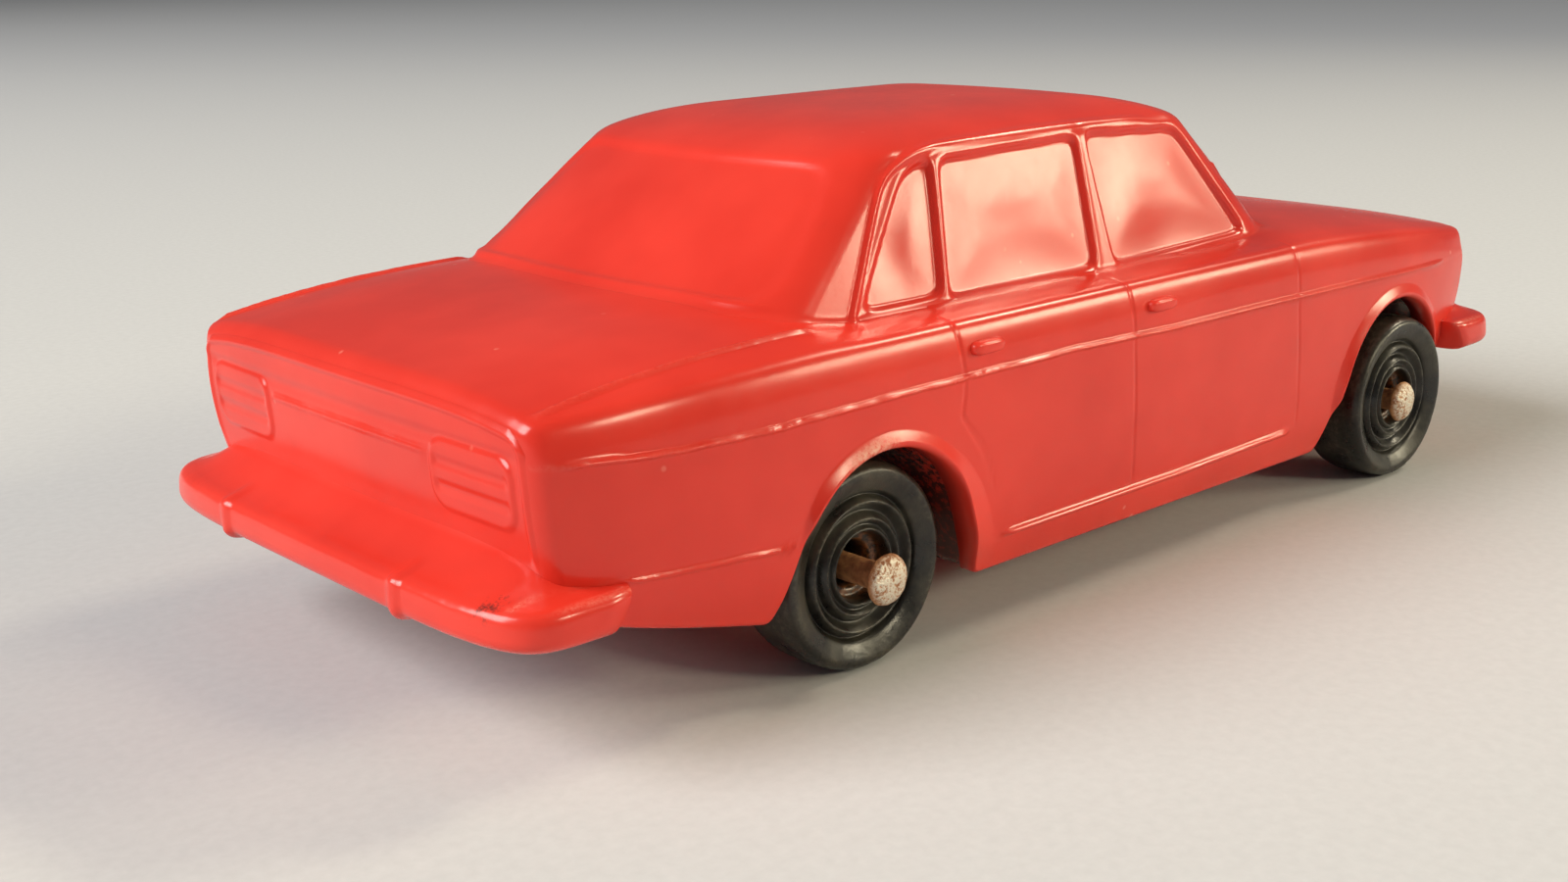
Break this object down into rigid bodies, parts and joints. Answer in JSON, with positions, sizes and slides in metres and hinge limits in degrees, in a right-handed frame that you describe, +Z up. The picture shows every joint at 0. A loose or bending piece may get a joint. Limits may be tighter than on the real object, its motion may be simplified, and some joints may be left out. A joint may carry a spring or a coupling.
{
  "type": "toy car",
  "caption": "Palm-size saloon toy car: a hollow one-piece soft plastic body on loose headed steel axles with free-spinning black wheels.",
  "frame": {"origin": "on the floor under the middle of the car's bounding box", "axes": "+X forward along the car, +Y to the car's left, +Z up"},
  "size_m": [0.1408, 0.0596, 0.044],
  "materials": {
    "body": "gloss",
    "axle": "rusty",
    "wheel": "satin"
  },
  "bodies": {
    "body": {"body_shell": "body"},
    "rear_axle": {"rear_axle": "axle"},
    "front_axle": {"front_axle": "axle"},
    "wheel_rear_right": {"wheel_rear_right": "wheel"},
    "wheel_rear_left": {"wheel_rear_left": "wheel"},
    "wheel_front_right": {"wheel_front_right": "wheel"},
    "wheel_front_left": {"wheel_front_left": "wheel"}
  },
  "joints": [
    {"name": "wheel_rear_right_spin", "type": "hinge", "parent": "body", "child": "wheel_rear_right", "pos_m": [-0.0337, 0, 0.00895], "axis": [0, 1, 0], "continuous": true},
    {"name": "wheel_rear_left_spin", "type": "hinge", "parent": "body", "child": "wheel_rear_left", "pos_m": [-0.0337, 0, 0.00895], "axis": [0, 1, 0], "continuous": true},
    {"name": "wheel_front_right_spin", "type": "hinge", "parent": "body", "child": "wheel_front_right", "pos_m": [0.0468, 0, 0.00895], "axis": [0, 1, 0], "continuous": true},
    {"name": "wheel_front_left_spin", "type": "hinge", "parent": "body", "child": "wheel_front_left", "pos_m": [0.0468, 0, 0.00895], "axis": [0, 1, 0], "continuous": true},
    {"name": "rear_axle_play", "type": "slide", "parent": "body", "child": "rear_axle", "axis": [0, 1, 0], "range_m": [-0.0034, 0.0034]},
    {"name": "front_axle_play", "type": "slide", "parent": "body", "child": "front_axle", "axis": [0, 1, 0], "range_m": [-0.0014, 0.0014]}
  ]
}
